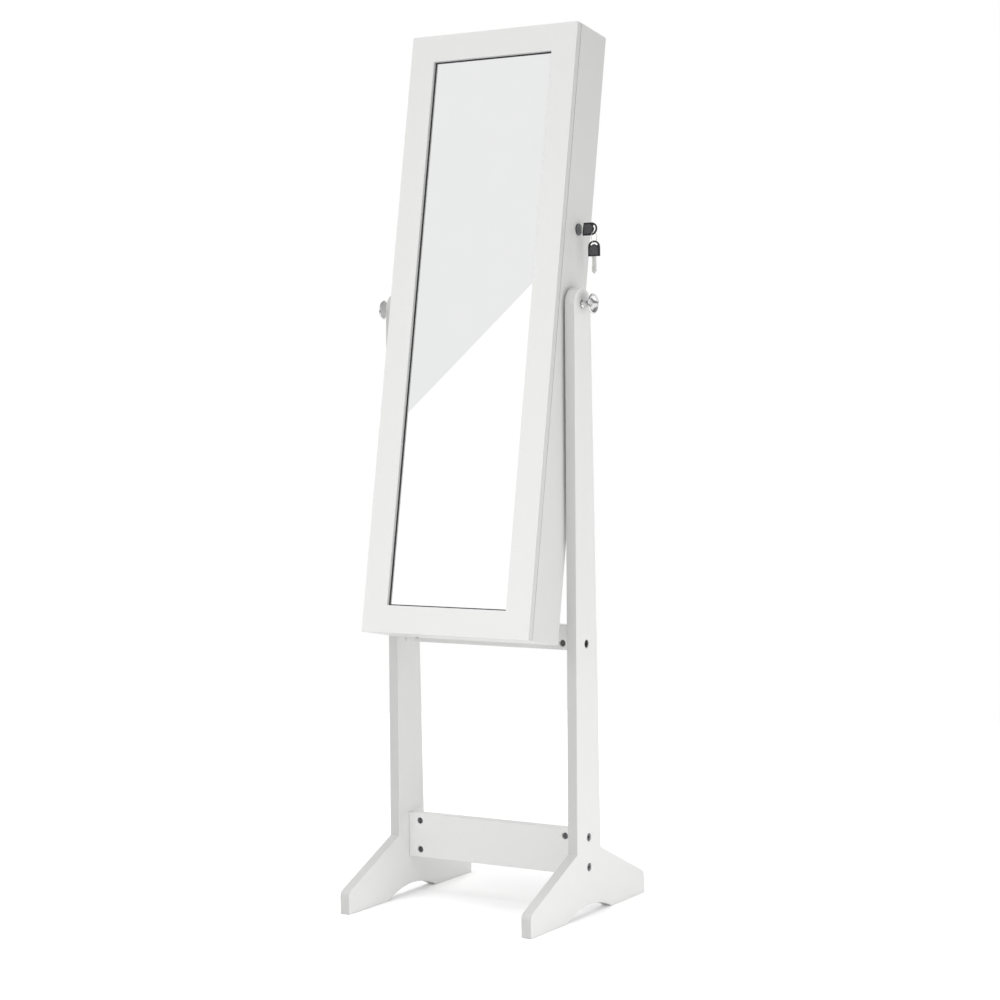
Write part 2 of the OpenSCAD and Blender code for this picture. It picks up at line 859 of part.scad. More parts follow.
// --- Keys ---

// A key's head, root at the origin, reaching along +X.
module key_head_outline() {
    r = key_head_w / 2;
    c = key_head_l - r;
    difference() {
        union() {
            translate([0, -r]) square([c, key_head_w]);
            translate([c, 0]) circle(r = r);
        }
        translate([c, 0]) intersection() {
            difference() {
                circle(r = key_eye_out_r);
                circle(r = key_eye_in_r);
            }
            polygon([[0, 0], for (s = [-1, 1]) 2 * key_eye_out_r * [1, s * tan(key_eye_angle)]]);
        }
    }
}

// A key's blade with its bitting, root at the origin, reaching along -X to a point.
module key_blade_outline() {
    half = key_blade_w / 2;
    tip = key_blade_l;
    difference() {
        polygon([[key_blade_in_head, -half], [key_blade_in_head, half], [-tip + half, half],
            [-tip, 0], [-tip + half, -half]]);
        for (i = [0 : 3]) translate([-4.5 - 3.2 * i, half + 0.6 - 0.3 * (i % 2)]) circle(r = 1.5);
    }
}

// A flat piece of thickness t whose outline's X runs along +X and whose Y runs up.
module upright_plate(t) {
    rotate([90, 0, 0]) linear_extrude(t, center = true) children();
}

module at_lock_key() {
    tilted() translate([key_root_x, lock_v, lock_w]) children();
}

module at_spare_key() {
    translate(spare_eye) rotate([0, -90, 0]) translate([key_head_w / 2 - key_head_l, 0, 0]) children();
}

module head_and_socket() {
    difference() {
        upright_plate(key_head_t) key_head_outline();
        upright_plate(key_blade_t) key_blade_outline();
    }
}

module key_head() {
    color("#1e1e20") at_lock_key() head_and_socket();
}

module key_blade() {
    color("silver") at_lock_key() upright_plate(key_blade_t) key_blade_outline();
}

module spare_key_head() {
    color("#1e1e20") at_spare_key() head_and_socket();
}

module spare_key_blade() {
    color("silver") at_spare_key() upright_plate(key_blade_t) key_blade_outline();
}

module key_ring() {
    color("silver") translate(ring_middle) rotate([0, 90, 0])
        rotate_extrude() translate([ring_r, 0]) circle(r = ring_wire_r, $fn = 24);
}

// --- Door ---

module door_frame() {
    color("white") tilted() difference() {
        slab([-cab_x, door_front_v, bottom_w], [cab_x, door_back_v, top_w]);
        slab([-opening_x, door_front_v - cut, opening_bottom_w],
            [opening_x, door_back_v + cut, opening_top_w]);
        slab([-opening_x - rebate_w, glass_front_v, opening_bottom_w - rebate_w],
            [opening_x + rebate_w, door_back_v + cut, opening_top_w + rebate_w]);
        hinge_mortises(door_back_v + cut, -leaf_clear - leaf_t);
        hinge_screw_set(-1);
        backing_screw_set();
        strike_screw_set();
    }
}

module mirror_glass() {
    grow = rebate_w - glass_play;
    color("lightcyan") tilted()
        slab([-opening_x - grow, glass_front_v, opening_bottom_w - grow],
            [opening_x + grow, door_back_v, opening_top_w + grow]);
}

// Screws around the backing board, beside the glass.
module backing_screw_set() {
    x = backing_x - backing_screw_inset;
    for (s = [-1, 1])
        for (w = spaced(backing_bottom_w + 22, backing_top_w - 22, backing_screw_pitch))
            if (s < 0 || abs(w - lock_w) > strike_w)
                translate([s * x, door_lining_v, w])
                    y_screw(backing_screw_r, 10, backing_screw_head_r, 1, -1);
}

module door_backing() {
    color("#232326") tilted() difference() {
        slab([-backing_x, door_back_v, backing_bottom_w], [backing_x, backing_back_v, backing_top_w]);
        backing_screw_set();
        strike_screw_set();
    }
}

module door_lining() {
    color("#1b1b1e") tilted() difference() {
        slab([-backing_x, backing_back_v, backing_bottom_w], [backing_x, door_lining_v, backing_top_w]);
        backing_screw_set();
        strike_screw_set();
    }
}

module backing_screws() {
    color("#232326") tilted() backing_screw_set();
}

module door_hook_rail() {
    color("#232326") tilted() difference() {
        slab([-door_rail_x, door_lining_v, door_rail_w],
            [door_rail_x, door_lining_v + door_rail_d, door_rail_w + rail_w]);
        door_hook_set();
    }
}

module door_hooks() {
    color("silver") tilted() door_hook_set();
}

// A fabric pocket on the door's lining, open at the top.
module door_pocket() {
    bottom = pocket_top_w - pocket_h;
    color("#1b1b1e") tilted() difference() {
        slab([-pocket_x, door_lining_v, bottom], [pocket_x, door_lining_v + pocket_d, pocket_top_w]);
        slab([-pocket_x + pocket_t, door_lining_v + pocket_t, bottom + pocket_t],
            [pocket_x - pocket_t, door_lining_v + pocket_d - pocket_t, pocket_top_w + cut]);
    }
}

// --- Tilt knobs ---

// The knob's section, in (radius, distance from the side frame): base, neck, flare, rim, dish.
module knob_section() {
    flare = knob_r - knob_neck_r;
    neck_end = knob_l - 13;
    boss_r = knob_neck_r - 0.4;
    dish_floor = knob_l - knob_dish;
    steps = 8;
    polygon(concat(
        [[0, knob_seat], [knob_base_r, knob_seat], [knob_base_r, 1.6], [knob_neck_r, 2.6]],
        [for (i = [0 : steps]) let (t = i / steps)
            [knob_neck_r + flare * pow(t, 2), neck_end + (knob_l - knob_rim_t - neck_end) * t]],
        [[knob_r, knob_l - 0.5], [knob_r - 0.5, knob_l], [knob_r - knob_rim_t, knob_l - 0.2]],
        [for (i = [1 : steps]) let (t = 1 - i / steps)
            [boss_r + (knob_r - knob_rim_t - boss_r) * t, dish_floor + (knob_dish - 0.6) * pow(t, 2)]],
        [[boss_r, dish_floor + 1.6], [socket_r, dish_floor + 1.6], [socket_r, dish_floor - 1],
            [0, dish_floor - 1]]
    ));
}

module knob() {
    difference() {
        translate([stand_w / 2, 0, pivot_z]) rotate([0, 90, 0]) rotate_extrude() knob_section();
        x_rod(0, stand_w / 2 + stud_in_knob, stud_r, z = pivot_z);
    }
}

module knob_stud() {
    x_rod(stud_tip_x, stand_w / 2 + stud_in_knob, stud_r, z = pivot_z);
}

module right_knob() {
    color("gainsboro") knob();
}

module left_knob() {
    color("gainsboro") mirror([1, 0, 0]) knob();
}

module right_knob_stud() {
    color("silver") knob_stud();
}

module left_knob_stud() {
    color("silver") mirror([1, 0, 0]) knob_stud();
}

left_side_frame();
right_side_frame();
lower_rail();
upper_rail();
left_frame_bolts();
right_frame_bolts();
barrel_nuts();
rail_dowels();
pivot_bushes();
left_panel();
right_panel();
top_panel();
bottom_panel();
back_panel();
back_screws();
cabinet_dowels();
back_lining();
wall_linings();
shelf_1();
shelf_2();
shelf_3();
shelf_4();
shelf_guards();
ring_cushion();
earring_panel();
earring_cleats();
necklace_rail();
necklace_hooks();
bracelet_bar();
bracelet_sockets();
pivot_inserts();
pivot_washers();
hinge_cabinet_leaves();
hinge_pins();
hinge_cabinet_screws();
lock_housing();
lock_nut();
door_frame();
mirror_glass();
door_backing();
door_lining();
backing_screws();
door_hook_rail();
door_hooks();
door_pocket();
hinge_door_leaves();
lock_strike();
door_screws();
lock_plug();
lock_cam();
cam_screw();
key_blade();
key_head();
key_ring();
spare_key_blade();
spare_key_head();
left_knob();
right_knob();
left_knob_stud();
right_knob_stud();
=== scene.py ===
"""A free-standing jewelry armoire: satin white paint, a tall mirror in the door, chrome clamp knobs
and a velvet-lined cabinet with a ring cushion, hooks, a bracelet bar and a gathered pocket.

The cabinet leans back in its stand, so what belongs to it is built in the cabinet's own directions:
across to the right, back from the door, and up along its sides.
"""

import json
import math

import bpy
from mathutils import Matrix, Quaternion, Vector, noise


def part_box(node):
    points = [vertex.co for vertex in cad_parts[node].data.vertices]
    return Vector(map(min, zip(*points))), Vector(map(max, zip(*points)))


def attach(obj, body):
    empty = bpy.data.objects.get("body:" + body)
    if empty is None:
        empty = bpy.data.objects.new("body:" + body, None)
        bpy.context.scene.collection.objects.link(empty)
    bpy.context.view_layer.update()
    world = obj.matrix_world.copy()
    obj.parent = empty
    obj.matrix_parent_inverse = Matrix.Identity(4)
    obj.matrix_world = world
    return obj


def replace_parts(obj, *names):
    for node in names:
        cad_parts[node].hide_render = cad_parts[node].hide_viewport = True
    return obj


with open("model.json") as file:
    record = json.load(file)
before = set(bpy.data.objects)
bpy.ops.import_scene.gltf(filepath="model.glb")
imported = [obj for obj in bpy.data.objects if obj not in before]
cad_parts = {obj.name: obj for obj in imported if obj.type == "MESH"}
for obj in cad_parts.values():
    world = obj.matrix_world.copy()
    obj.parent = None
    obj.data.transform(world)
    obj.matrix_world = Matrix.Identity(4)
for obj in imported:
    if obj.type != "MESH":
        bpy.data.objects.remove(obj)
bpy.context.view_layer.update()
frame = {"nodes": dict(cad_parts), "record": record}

MM = 0.001
joints = {joint["name"]: joint for joint in frame["record"]["behaviour"]["joints"]}
slot_of = {part["node"]: part["material_slot"] for part in frame["record"]["subparts"]}

# --- The cabinet's own directions ---

PIVOT = Vector(joints["cabinet_tilt"]["pos_m"])
ACROSS = Vector((1, 0, 0))
UP = -Vector(joints["door_swing"]["axis"]).normalized()
BACK = UP.cross(ACROSS)


def in_cabinet(across, back, up):
    """A point of the cabinet, whose origin is the tilt axis, in the shared frame."""
    return PIVOT + ACROSS * across + BACK * back + UP * up


def cabinet_box(node):
    """A CAD node's lowest and highest corner in the cabinet's directions."""
    offsets = [vertex.co - PIVOT for vertex in frame["nodes"][node].data.vertices]
    spans = [[offset.dot(way) for offset in offsets] for way in (ACROSS, BACK, UP)]
    return Vector([min(span) for span in spans]), Vector([max(span) for span in spans])


# --- Materials ---


def linear(hex_colour):
    """An sRGB hex colour as the linear colour that a shader takes."""
    channels = [int(hex_colour[i : i + 2], 16) / 255 for i in (1, 3, 5)]
    return [c / 12.92 if c <= 0.04045 else ((c + 0.055) / 1.055) ** 2.4 for c in channels] + [1]


def per_metre(millimetres):
    """The texture scale at which one feature is this many millimetres across."""
    return 1 / (millimetres * MM)


def connect(node, inputs):
    """Gives a node's inputs their values, or links them where the value is a socket."""
    for name, value in inputs.items():
        if isinstance(value, bpy.types.NodeSocket):
            node.id_data.links.new(value, node.inputs[name])
        else:
            node.inputs[name].default_value = value


def add(tree, kind, inputs, **settings):
    """Adds a node with its settings and links."""
    node = tree.nodes.new(kind)
    for name, value in settings.items():
        setattr(node, name, value)
    connect(node, inputs)
    return node


def new_material(name):
    """A new material: its node tree, its Principled shader, and the object's coordinates."""
    material = bpy.data.materials.new(name)
    material.use_nodes = True
    tree = material.node_tree
    return material, tree.nodes["Principled BSDF"], add(tree, "ShaderNodeTexCoord", {}).outputs["Object"]


def finish(shader, factor, tones, roughness, relief_mm=0.0, strength=0.5, **values):
    """Lets one texture vary a shader's colour, roughness and relief, and sets its other values."""
    tree = shader.id_data
    mix = {0: factor, 6: linear(tones[0]), 7: linear(tones[1])}
    spread = {"Value": factor, "To Min": roughness[0], "To Max": roughness[1]}
    bump = {"Height": factor, "Distance": relief_mm * MM, "Strength": strength}
    connect(
        shader,
        {
            "Base Color": add(tree, "ShaderNodeMix", mix, data_type="RGBA").outputs[2],
            "Roughness": add(tree, "ShaderNodeMapRange", spread).outputs["Result"],
            "Normal": add(tree, "ShaderNodeBump", bump).outputs["Normal"],
        },
    )
    connect(shader, {name.replace("_", " "): value for name, value in values.items()})


def satin_lacquer(name, tones, roughness, edge_shade_tone=None, faces_along=ACROSS):
    """Satin white lacquer rolled over fibreboard: an even, soft sheen with the faint orange peel of
    the roller, and a tone that hardly wanders. Where an edge shade tone is given, the faces turned
    away from faces_along are painted greyer: painted shade on the board's narrow edges."""
    material, shader, place = new_material(name)
    tree = shader.id_data
    peel = {"Vector": place, "Scale": per_metre(2.5), "Detail": 3, "Roughness": 0.6}
    texture = add(tree, "ShaderNodeTexNoise", peel)
    finish(shader, texture.outputs["Fac"], tones, roughness, relief_mm=0.02, IOR=1.5)
    # Painted shade: faces that don't point along faces_along get the greyer tone, as though in shade.
    if edge_shade_tone:
        outward = place.node.outputs["Normal"]
        directions = {0: outward, 1: tuple(faces_along)}
        facing = add(tree, "ShaderNodeVectorMath", directions, operation="DOT_PRODUCT")
        turned_away = add(tree, "ShaderNodeMath", {0: facing.outputs["Value"]}, operation="ABSOLUTE")
        limits = {"Value": turned_away.outputs["Value"], "From Min": 0.5, "From Max": 0.9}
        on_face = add(tree, "ShaderNodeMapRange", limits).outputs["Result"]
        face_colour = shader.inputs["Base Color"].links[0].from_socket
        mix = {0: on_face, 6: linear(edge_shade_tone), 7: face_colour}
        connect(shader, {"Base Color": add(tree, "ShaderNodeMix", mix, data_type="RGBA").outputs[2]})
    return material


def silvered_glass():
    """Silvered float glass: a clean bright reflection, with the slightest haze."""
    material, shader, place = new_material("silvered_glass")
    haze = {"Vector": place, "Scale": per_metre(60), "Detail": 2}
    texture = add(shader.id_data, "ShaderNodeTexNoise", haze)
    finish(shader, texture.outputs["Fac"], ("#fafbfb", "#ffffff"), (0.0, 0.012), Metallic=1.0)
    return material


def plated_metal(name, tones, roughness, lay_mm, relief_mm):
    """Plated, polished or turned metal: fine hairlines all one way, left by polishing, break the
    reflection and dull it a little. They are drawn as wide as they need to show."""
    material, shader, place = new_material(name)
    tree = shader.id_data
    stretched = add(tree, "ShaderNodeMapping", {"Vector": place, "Scale": (0.1, 1, 1)})
    hairlines = {"Vector": stretched.outputs["Vector"], "Scale": per_metre(lay_mm), "Detail": 3}
    texture = add(tree, "ShaderNodeTexNoise", hairlines)
    finish(shader, texture.outputs["Fac"], tones, roughness, relief_mm, Metallic=1.0)
    return material


def flocked_velvet():
    """Black flocked velvet: deep in the pile and pale where it is seen along the surface. Strokes of
    the hand lie across it in patches. The pile is drawn 1.2 mm wide, coarser than it is, to show."""
    material, shader, place = new_material("flocked_velvet")
    tree = shader.id_data
    pile = add(tree, "ShaderNodeTexNoise", {"Vector": place, "Scale": per_metre(1.2), "Detail": 4})
    strokes = add(tree, "ShaderNodeTexNoise", {"Vector": place, "Scale": per_metre(40), "Detail": 2})
    both = {0: pile.outputs["Fac"], 1: strokes.outputs["Fac"]}
    nap = add(tree, "ShaderNodeMath", both, operation="MULTIPLY").outputs["Value"]
    sheen = {"Sheen_Weight": 1.0, "Sheen_Roughness": 0.4, "Sheen_Tint": linear("#a2a2aa")}
    tones = ("#0a0a0b", "#46464c")
    finish(shader, nap, tones, (0.9, 1.0), 0.4, strength=0.7, Specular_IOR_Level=0.15, **sheen)
    return material


def stretch_knit():
    """Black stretch knit: fine ribs up the cloth, drawn 1.6 mm apart."""
    material, shader, place = new_material("stretch_knit")
    ribs = {"Vector": place, "Scale": per_metre(1.6) / math.tau, "Distortion": 0.5, "Detail": 1}
    texture = add(shader.id_data, "ShaderNodeTexWave", ribs)
    sheen = {"Sheen_Weight": 0.5, "Sheen_Roughness": 0.4, "Sheen_Tint": linear("#8a8a92")}
    finish(shader, texture.outputs["Fac"], ("#0a0a0c", "#26262a"), (0.8, 0.95), 0.3, **sheen)
    return material


def moulded_plastic(name, tones, roughness, grain_mm, relief_mm):
    """Injection moulding from a spark-eroded tool: a fine even pebble that spreads its highlights."""
    material, shader, place = new_material(name)
    grain = {"Vector": place, "Scale": per_metre(grain_mm)}
    texture = add(shader.id_data, "ShaderNodeTexVoronoi", grain, feature="SMOOTH_F1")
    finish(shader, texture.outputs["Distance"], tones, roughness, relief_mm, IOR=1.53)
    return material


def wood_grain(name, tones, roughness):
    """Bare or stained wood: fibres along the piece, ten times as long as they are wide."""
    material, shader, place = new_material(name)
    tree = shader.id_data
    along = add(tree, "ShaderNodeMapping", {"Vector": place, "Scale": (0.1, 1, 1)})
    fibres = {"Vector": along.outputs["Vector"], "Scale": per_metre(1.5), "Detail": 5, "Distortion": 0.6}
    texture = add(tree, "ShaderNodeTexNoise", fibres)
    finish(shader, texture.outputs["Fac"], tones, roughness, relief_mm=0.08, IOR=1.5)
    return material


def clear_acrylic():
    """Clear acrylic strip: the shelf shows through it, and its polished edges catch the light."""
    material, shader, place = new_material("clear_acrylic")
    ripple = {"Vector": place, "Scale": per_metre(30), "Detail": 1}
    texture = add(shader.id_data, "ShaderNodeTexNoise", ripple)
    tones = ("#f2f7f8", "#f8fbfb")
    finish(shader, texture.outputs["Fac"], tones, (0.02, 0.07), Transmission_Weight=1.0, IOR=1.49)
    return material


# Each finish has two sRGB tones that it wanders between and its lowest and highest roughness. A metal
# or a moulding also has the width and the depth of its texture in millimetres.
FINISHES = {
    # Warm off-white, even and softly shining, for the rails.
    "white_paint": satin_lacquer("satin_white_lacquer", ("#efefee", "#f4f4f3"), (0.36, 0.46)),
    # The brightest white, with painted shade that greys the door's narrow edges.
    "door_paint": satin_lacquer(
        "satin_white_lacquer_on_door_with_painted_edge_shade", ("#f0f0ef", "#f5f5f4"), (0.36, 0.46), "#dcdcdb", BACK
    ),
    # White with painted shade that plainly greys the narrow edges and draws the outline of the side frames.
    "stand_paint": satin_lacquer(
        "satin_white_lacquer_on_stand_with_painted_edge_shade", ("#eeeeed", "#f3f3f2"), (0.36, 0.46), "#d2d2d1", ACROSS
    ),
    # A greyer copy of the white lacquer: painted shade on the cabinet's panels, so that the cabinet stands
    # apart behind the door.
    "carcass_paint": satin_lacquer("white_lacquer_with_painted_shade", ("#e1e1e0", "#e6e6e5"), (0.4, 0.5)),
    # Printed white on hardboard: flatter and duller than paint.
    "back_board": satin_lacquer("white_faced_hardboard", ("#e2e2e0", "#e9e9e7"), (0.5, 0.62)),
    "mirror": silvered_glass(),
    "velvet": flocked_velvet(),
    # Almost black, with a trace of the fibres under the stain.
    "black_board": wood_grain("black_stained_board", ("#0b0b0c", "#1e1e20"), (0.45, 0.65)),
    "clear_acrylic": clear_acrylic(),
    # Bright and mirror-like, with crisp dark and light bands.
    "chrome": plated_metal("polished_chrome_plate", ("#dadada", "#e8e8e8"), (0.03, 0.07), 0.5, 0.002),
    # Dark smoky grey with a clear highlight.
    "black_nickel": plated_metal("black_nickel_plate", ("#525355", "#717274"), (0.12, 0.22), 0.4, 0.005),
    # Mid grey and softly streaked.
    "steel": plated_metal("zinc_plated_steel", ("#8e8f90", "#b0b1b2"), (0.2, 0.36), 0.4, 0.02),
    # Dull and dark, as it comes from the mould.
    "zinc": plated_metal("die_cast_zinc", ("#4e4f51", "#7a7b7d"), (0.38, 0.55), 0.8, 0.04),
    # Small pale heads with a broad glint.
    "screw_steel": plated_metal("bright_screw_steel", ("#aaabac", "#c8c9ca"), (0.22, 0.4), 0.4, 0.02),
    # Pale and faintly warm, smooth enough to reflect the door's white.
    "hinge_steel": plated_metal("nickel_plated_steel", ("#b0afaa", "#cfcec9"), (0.14, 0.28), 0.4, 0.01),
    # The palest metal: it nearly vanishes against white but for its edges.
    "key_steel": plated_metal("nickel_silver_key_blank", ("#dededc", "#f0f0ee"), (0.12, 0.24), 0.3, 0.01),
    # Warm yellow, lightly streaked by the tool.
    "brass": plated_metal("turned_brass", ("#a58748", "#c9a862"), (0.2, 0.34), 0.3, 0.02),
    # Matt black that only greys at its rim.
    "black_screw": plated_metal("black_oxide_steel", ("#121212", "#262626"), (0.32, 0.5), 0.3, 0.02),
    # Milky white with a waxy sheen.
    "nylon": moulded_plastic("natural_nylon", ("#d6d6d2", "#e6e6e2"), (0.38, 0.52), 0.8, 0.03),
    # Black with a soft, even sheen.
    "black_plastic": moulded_plastic("black_moulded_abs", ("#09090a", "#1b1b1d"), (0.36, 0.52), 0.6, 0.06),
    # Charcoal with a pebble coarse enough to see, drawn wider than it is.
    "black_grip": moulded_plastic("pebbled_black_abs", ("#242426", "#626266"), (0.45, 0.65), 1.1, 0.15),
    # Pale golden brown with straight darker fibres.
    "beech": wood_grain("bare_beech", ("#ab8453", "#d2ae7c"), (0.5, 0.7)),
}

# --- Making pieces ---


def piece(name, vertices, faces, body, slot, material=None, smooth=True):
    """A new mesh object that rides on a body, with the finish of its slot."""
    mesh = bpy.data.meshes.new(name)
    mesh.from_pydata([tuple(vertex) for vertex in vertices], [], faces)
    mesh.validate()
    mesh.polygons.foreach_set("use_smooth", [smooth] * len(mesh.polygons))
    obj = bpy.data.objects.new(name, mesh)
    bpy.context.scene.collection.objects.link(obj)
    mesh.materials.append(material or FINISHES[slot])
    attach(obj, body)
    return obj


def skin(rings, close_ends=True):
    """Vertices and faces of a skin over rings of equal length, in order."""
    count = len(rings[0])
    vertices = [point for ring in rings for point in ring]
    faces = []
    for i in range(len(rings) - 1):
        for j in range(count):
            k = (j + 1) % count
            faces.append((i * count + j, i * count + k, (i + 1) * count + k, (i + 1) * count + j))
    if close_ends:
        faces.append(tuple(reversed(range(count))))
        faces.append(tuple(range((len(rings) - 1) * count, len(rings) * count)))
    return vertices, faces


def joined(shells):
    """Several (vertices, faces) shells as one."""
    vertices, faces = [], []
    for shell_vertices, shell_faces in shells:
        start = len(vertices)
        vertices += shell_vertices
        faces += [tuple(start + i for i in face) for face in shell_faces]
    return vertices, faces


def swept(path, radii, sides=16):
    """A round wire along a path, with its own radius at each point."""
    rings = []
    side = None
    for i, point in enumerate(path):
        ahead = (path[min(i + 1, len(path) - 1)] - path[max(i - 1, 0)]).normalized()
        if side is None:
            side = ahead.orthogonal().normalized()
        side = (side - ahead * side.dot(ahead)).normalized()
        other = ahead.cross(side)
        turns = [math.tau * j / sides for j in range(sides)]
        rings.append([point + (side * math.cos(t) + other * math.sin(t)) * radii[i] for t in turns])
    return skin(rings)


# A turned profile starts and ends this far from its axis, so that no two of its points fall together.
ON_AXIS = 0.001 * MM


def turned(profile, centre, axis, sides=96):
    """A solid turned about an axis from (radius, distance along the axis) points."""
    side = axis.orthogonal().normalized()
    other = axis.cross(side)
    rings = []
    for radius, along in profile:
        turns = [math.tau * j / sides for j in range(sides)]
        middle = centre + axis * along
        rings.append([middle + (side * math.cos(t) + other * math.sin(t)) * radius for t in turns])
    return skin(rings)


def soften(node, width_mm):
    """Rounds the sharp edges of a CAD node with modifiers, as paint or tumbling does."""
    same_point_mm, flat_within, sharp_above = 0.001, 0.5, 35
    obj = frame["nodes"][node]
    weld = obj.modifiers.new("weld", "WELD")
    weld.merge_threshold = same_point_mm * MM
    flats = obj.modifiers.new("flats", "DECIMATE")
    flats.decimate_type = "DISSOLVE"
    flats.angle_limit = math.radians(flat_within)
    bevel = obj.modifiers.new("edges", "BEVEL")
    bevel.width = width_mm * MM
    bevel.segments = 3
    bevel.limit_method = "ANGLE"
    bevel.angle_limit = math.radians(sharp_above)
    bevel.use_clamp_overlap = False
    bevel.loop_slide = False
    bevel.harden_normals = True
    triangles = obj.modifiers.new("triangles", "TRIANGULATE")
    triangles.ngon_method = "CLIP"
    triangles.keep_custom_normals = True


# --- Finishes on the CAD nodes ---

# The nodes whose finish isn't the one of their slot.
OWN_FINISH = {
    # The door's lacquer carries painted shade on its narrow edges.
    "door_frame": "door_paint",
    "left_frame_bolts": "black_nickel",
    "right_frame_bolts": "black_nickel",
    "lock_housing": "black_nickel",
    "lock_plug": "black_nickel",
    # The side frames' lacquer carries painted shade on their narrow edges.
    "left_side_frame": "stand_paint",
    "right_side_frame": "stand_paint",
    # The cabinet's panels take the greyer lacquer: painted shade.
    "left_panel": "carcass_paint",
    "right_panel": "carcass_paint",
    "top_panel": "carcass_paint",
    "bottom_panel": "carcass_paint",
}
for node, obj in frame["nodes"].items():
    obj.data.materials.clear()
    obj.data.materials.append(FINISHES[OWN_FINISH.get(node, slot_of[node])])

# How far a node's edges are rounded, in millimetres.
EDGE_MM = {
    "left_side_frame": 1.3,
    "right_side_frame": 1.3,
    "upper_rail": 1.2,
    "lower_rail": 1.2,
    "door_frame": 0.9,
    "left_panel": 0.5,
    "right_panel": 0.5,
    "top_panel": 0.4,
    "bottom_panel": 0.4,
    "key_head": 0.6,
    "spare_key_head": 0.6,
    "key_blade": 0.2,
    "spare_key_blade": 0.2,
    "lock_housing": 0.6,
}
for node, width in EDGE_MM.items():
    soften(node, width)

# --- The dark strip round the mirror: painted shade ---


def mirror_shadow_strip():
    """A thin black strip in the corner between the mirror and the frame around it: painted shade for
    the dark gap and shadow where the glass meets the frame's rebate.
    """
    in_rebate, width, height = 6.5 * MM, 2.0 * MM, 1.3 * MM
    flat_top, outer_slope = width * 0.6, height * 0.5
    section = ((0, 0), (0, height), (flat_top, height), (width, outer_slope), (width, 0))
    low, high = cabinet_box("mirror_glass")
    rings = []
    for inset, rise in section:
        side = high.x - in_rebate - inset
        bottom, top = low.z + in_rebate + inset, high.z - in_rebate - inset
        corners = ((-side, bottom), (side, bottom), (side, top), (-side, top))
        rings.append([in_cabinet(across, low.y - rise, up) for across, up in corners])
    rings.append(rings[0])
    # The black strip is painted shade, not a real part.
    piece("mirror_shadow_strip", *skin(rings, close_ends=False), "door", "black_plastic", smooth=False)


mirror_shadow_strip()

# --- The clamp knobs ---


def knob_foot(collar, neck):
    """The profile of a knob's collar, from the axis out and up to the neck."""
    collar_edge, collar_side, collar_top = 0.3 * MM, 1.0 * MM, 1.4 * MM
    hollow, neck_start = 1.8 * MM, 2.6 * MM
    profile = [(ON_AXIS, 0), (collar - collar_edge, 0), (collar, collar_edge), (collar, collar_side)]
    profile += [(collar - 0.4 * MM, collar_top), (neck + 0.4 * MM, hollow), (neck, neck_start)]
    return profile


def knob_boss(bottom, radius):
    """The profile of the boss in a knob's dish: up its side, over its edge and into its recess."""
    height, edge = 2.0 * MM, 0.4 * MM
    recess, recess_edge, recess_depth = 2.3 * MM, 0.2 * MM, 2.4 * MM
    top = bottom + height
    profile = [(radius, bottom), (radius, top - edge), (radius - edge, top)]
    profile += [(recess + recess_edge, top), (recess, top - recess_edge)]
    profile += [(recess, top - recess_depth), (ON_AXIS, top - recess_depth)]
    return profile


def clamp_knob(side, name):
    """A chrome knob turned about the tilt axis: a collar, a slim neck that flares to a thin rim,
    and a dished face with a boss in the middle."""
    low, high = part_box(side + "_knob")
    axis = ACROSS if side == "right" else -ACROSS
    rim = (high.z - low.z) / 2
    length = high.x - low.x
    seat = PIVOT + axis * min(abs(low.x), abs(high.x))
    neck, collar, boss, lip = 5.0 * MM, 6.8 * MM, 4.6 * MM, 1.5 * MM
    lip_length, dish_depth = lip * 1.6, 6.4 * MM
    flare_start, flare_end = length * 0.3, length - lip_length
    flare_curve, dish_curve = 1.7, 2.4
    steps, lip_steps = 18, 10
    profile = knob_foot(collar, neck)
    for i in range(steps + 1):
        t = i / steps
        profile.append((neck + (rim - neck) * t**flare_curve, flare_start + (flare_end - flare_start) * t))
    for i in range(1, lip_steps):
        turn = math.pi * i / lip_steps
        profile.append((rim - lip + lip * math.cos(turn), flare_end + lip_length * math.sin(turn)))
    inner_rim = rim - 2 * lip
    dish_bottom = length - dish_depth
    for i in range(steps):
        t = 1 - i / steps
        rise = (dish_depth - lip_length) * t**dish_curve
        profile.append((boss + (inner_rim - boss) * t, dish_bottom + rise))
    profile += knob_boss(dish_bottom, boss)
    knob = piece(name, *turned(profile, seat, axis), side + "_clamp_knob", "chrome")
    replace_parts(knob, side + "_knob")


clamp_knob("left", "left_clamp_knob_body")
clamp_knob("right", "right_clamp_knob_body")

# --- The split ring ---


def split_ring():
    """Two close turns of spring wire through the eyes of both keys."""
    low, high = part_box("key_ring")
    middle = (low + high) / 2
    wire = (high.x - low.x) / 4
    radius = (high.z - low.z) / 2 - (high.x - low.x) / 2
    turns, steps, sides = 2, 192, 12
    first_end = -math.pi * 0.6
    thinned = wire * 0.97
    path = []
    for i in range(steps + 1):
        t = i / steps
        angle = math.tau * turns * t + first_end
        offset = Vector(((t - 0.5) * 2 * wire, radius * math.cos(angle), radius * math.sin(angle)))
        path.append(middle + offset)
    ring = piece("split_ring", *swept(path, [thinned] * len(path), sides), "ring", "key_steel")
    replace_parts(ring, "key_ring")


split_ring()

# --- Grips on the key heads ---


def grip_outline(shoulder, dome, half_width, start, corner):
    """The outline of a grip panel as (along, aside) points: a dome, then two rounded corners."""
    dome_steps, corner_steps = 24, 6
    turns = [math.pi * i / dome_steps for i in range(dome_steps + 1)]
    outline = [(shoulder + dome * math.sin(t), half_width * math.cos(t)) for t in turns]
    turns = [math.pi / 2 * i / corner_steps for i in range(corner_steps + 1)]
    for sign, way in ((-1, turns), (1, reversed(turns))):
        for t in way:
            aside = half_width - corner * (1 - math.cos(t))
            outline.append((start + corner * (1 - math.sin(t)), sign * aside))
    return outline


